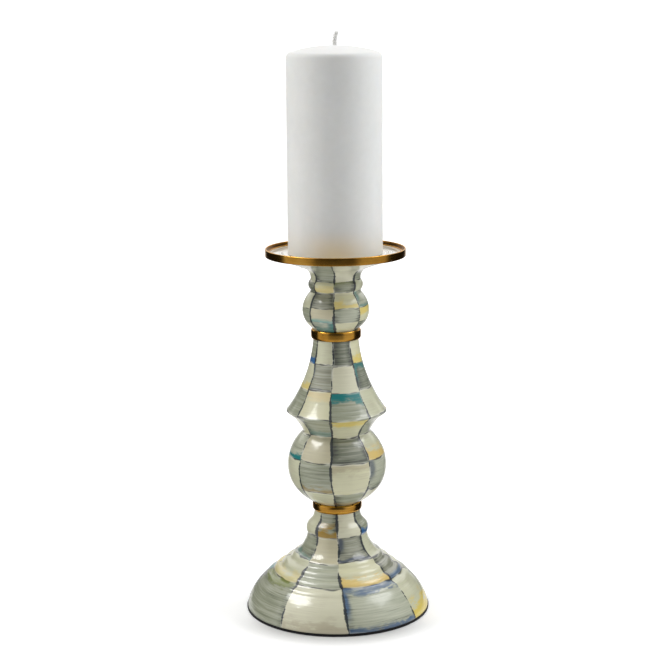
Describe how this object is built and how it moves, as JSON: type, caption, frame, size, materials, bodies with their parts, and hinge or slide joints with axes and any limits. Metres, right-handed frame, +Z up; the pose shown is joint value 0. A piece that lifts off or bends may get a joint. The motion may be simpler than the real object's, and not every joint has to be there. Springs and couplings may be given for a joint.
{
  "type": "candlestick",
  "caption": "Tall turned candlestick in hand-painted checked enamel with brass collars, a round brass-rimmed tray and a white pillar candle.",
  "frame": {"origin": "on the axis of the candlestick, on the surface that the foot stands on", "axes": "+Z up along the axis; +X the way the wick leans; the piece is otherwise round, so X and Y are free"},
  "size_m": [0.1514, 0.1514, 0.4725],
  "materials": {
    "enamel": "glossy enamel, painted in cream and grey checks",
    "white_enamel": "glossy white enamel",
    "brass": "satin, spun",
    "foot_edge": "satin black",
    "steel": "zinc plated",
    "fibre": "vulcanised fibre",
    "wax": "matt white wax",
    "cotton": "braided cotton"
  },
  "bodies": {
    "candlestick": {"tray_pan": "white_enamel", "tray_rim": "brass", "tray_nut": "steel", "tray_washer": "steel", "spacer_tube": "steel", "knop": "enamel", "stem": "enamel", "base_shell": "enamel", "foot_edge_trim": "foot_edge", "tie_rod": "steel", "base_washer": "steel", "lock_washer": "steel", "base_nut": "steel", "upper_collar": "brass", "lower_collar": "brass", "upper_collar_gasket_top": "fibre", "upper_collar_gasket_bottom": "fibre", "lower_collar_gasket_top": "fibre", "lower_collar_gasket_bottom": "fibre"},
    "candle": {"candle": "wax", "wick": "cotton"}
  },
  "joints": [
    {"name": "candle_lift", "type": "slide", "parent": "candlestick", "child": "candle", "axis": [0, 0, 1], "range_m": [0, 0.06]}
  ]
}
